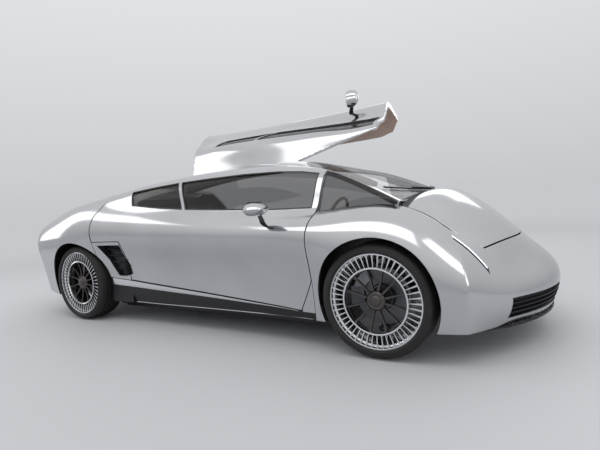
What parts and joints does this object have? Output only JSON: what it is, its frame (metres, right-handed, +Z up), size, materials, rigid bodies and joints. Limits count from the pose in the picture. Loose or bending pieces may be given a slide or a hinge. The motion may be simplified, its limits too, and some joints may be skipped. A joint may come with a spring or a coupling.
{
  "type": "four-seat grand touring coupe with gull-wing doors",
  "caption": "Low polished four-seat coupe with roof-hinged gull-wing doors, spinning and steering wheels, opening bonnet and boot lid, for road use by a driver and passengers.",
  "frame": {"origin": "on the ground, on the centreline, half way between the front and rear axles", "axes": "+X towards the nose, +Y towards the car's left, +Z up"},
  "size_m": [4.8887, 2.5877, 2.0598],
  "materials": {
    "body_silver": "mirror polished",
    "black_trim": "satin black",
    "chassis_black": "bare composite",
    "glass_dark": "tinted, clear",
    "glass_clear": "clear",
    "lamp_red": "clear red",
    "lamp_clear": "clear",
    "plate": "blank, gloss",
    "rim": "polished",
    "tyre": "matte",
    "steel": "machined",
    "drive": "cast",
    "leather_brown": "soft, stitched",
    "trim_beige": "soft"
  },
  "bodies": {
    "body": {"tub": "chassis_black", "front_fender_left": "body_silver", "front_fender_right": "body_silver", "rear_quarter_left": "body_silver", "rear_quarter_right": "body_silver", "nose": "body_silver", "tail": "body_silver", "roof_frame": "body_silver", "windscreen": "glass_clear", "quarter_glass": "glass_dark", "rear_glass": "glass_dark", "rear_cowl": "black_trim", "cowl": "black_trim", "headlamps": "lamp_clear", "tail_lamps": "lamp_red", "side_scoop_left": "body_silver", "side_scoop_right": "body_silver", "intake_vanes": "black_trim", "sill_panels": "black_trim", "grille": "black_trim", "splitter": "black_trim", "number_plate": "plate", "diffuser": "black_trim", "power_pack": "drive", "arch_liners": "black_trim", "front_subframe": "steel", "rear_subframe": "steel", "front_seats": "leather_brown", "rear_seats": "leather_brown", "dashboard": "trim_beige", "steering_column": "black_trim"},
    "bonnet": {"bonnet": "body_silver"},
    "boot_lid": {"boot_lid": "body_silver"},
    "door_left": {"door_left": "body_silver", "door_glass_left": "glass_dark", "mirror_left": "body_silver"},
    "door_right": {"door_right": "body_silver", "door_glass_right": "glass_dark", "mirror_right": "body_silver"},
    "steering_wheel": {"steering_wheel": "leather_brown"},
    "knuckle_left": {"knuckle_left": "steel"},
    "knuckle_right": {"knuckle_right": "steel"},
    "wheel_front_left": {"rim_front_left": "rim", "tyre_front_left": "tyre"},
    "wheel_front_right": {"rim_front_right": "rim", "tyre_front_right": "tyre"},
    "wheel_rear_left": {"rim_rear_left": "rim", "tyre_rear_left": "tyre"},
    "wheel_rear_right": {"rim_rear_right": "rim", "tyre_rear_right": "tyre"}
  },
  "joints": [
    {"name": "steer_left", "type": "hinge", "parent": "body", "child": "knuckle_left", "pos_m": [1.475, 0.8, 0.352], "axis": [0, 0, 1], "range_deg": [-32, 32]},
    {"name": "steer_right", "type": "hinge", "parent": "body", "child": "knuckle_right", "pos_m": [1.475, -0.8, 0.352], "axis": [0, 0, 1], "range_deg": [-32, 32]},
    {"name": "steering_wheel_turn", "type": "hinge", "parent": "body", "child": "steering_wheel", "pos_m": [0.64, 0.37, 0.8], "axis": [0.9272, 0, -0.3746], "range_deg": [-385, 385]},
    {"name": "wheel_front_left_spin", "type": "hinge", "parent": "knuckle_left", "child": "wheel_front_left", "pos_m": [1.475, 0.829, 0.352], "axis": [0, 1, 0], "continuous": true},
    {"name": "wheel_front_right_spin", "type": "hinge", "parent": "knuckle_right", "child": "wheel_front_right", "pos_m": [1.475, -0.829, 0.352], "axis": [0, 1, 0], "continuous": true},
    {"name": "wheel_rear_left_spin", "type": "hinge", "parent": "body", "child": "wheel_rear_left", "pos_m": [-1.475, 0.829, 0.352], "axis": [0, 1, 0], "continuous": true},
    {"name": "wheel_rear_right_spin", "type": "hinge", "parent": "body", "child": "wheel_rear_right", "pos_m": [-1.475, -0.829, 0.352], "axis": [0, 1, 0], "continuous": true},
    {"name": "door_left_hinge", "type": "hinge", "parent": "body", "child": "door_left", "pos_m": [-0.2, 0.3, 1.297], "axis": [0.9989, 0, 0.0471], "range_deg": [-80, 0]},
    {"name": "door_right_hinge", "type": "hinge", "parent": "body", "child": "door_right", "pos_m": [-0.2, -0.3, 1.297], "axis": [-0.9989, 0, -0.0471], "range_deg": [0, 80]},
    {"name": "bonnet_hinge", "type": "hinge", "parent": "body", "child": "bonnet", "pos_m": [1.645, 0, 0.945], "axis": [0, -1, 0], "range_deg": [0, 40]},
    {"name": "boot_lid_hinge", "type": "hinge", "parent": "body", "child": "boot_lid", "pos_m": [-1.535, 0, 1.046], "axis": [0, 1, 0], "range_deg": [0, 45]}
  ],
  "couplings": [
    {"joint": "steer_right", "follows": "steer_left", "ratio": 1},
    {"joint": "steering_wheel_turn", "follows": "steer_left", "ratio": -12}
  ]
}
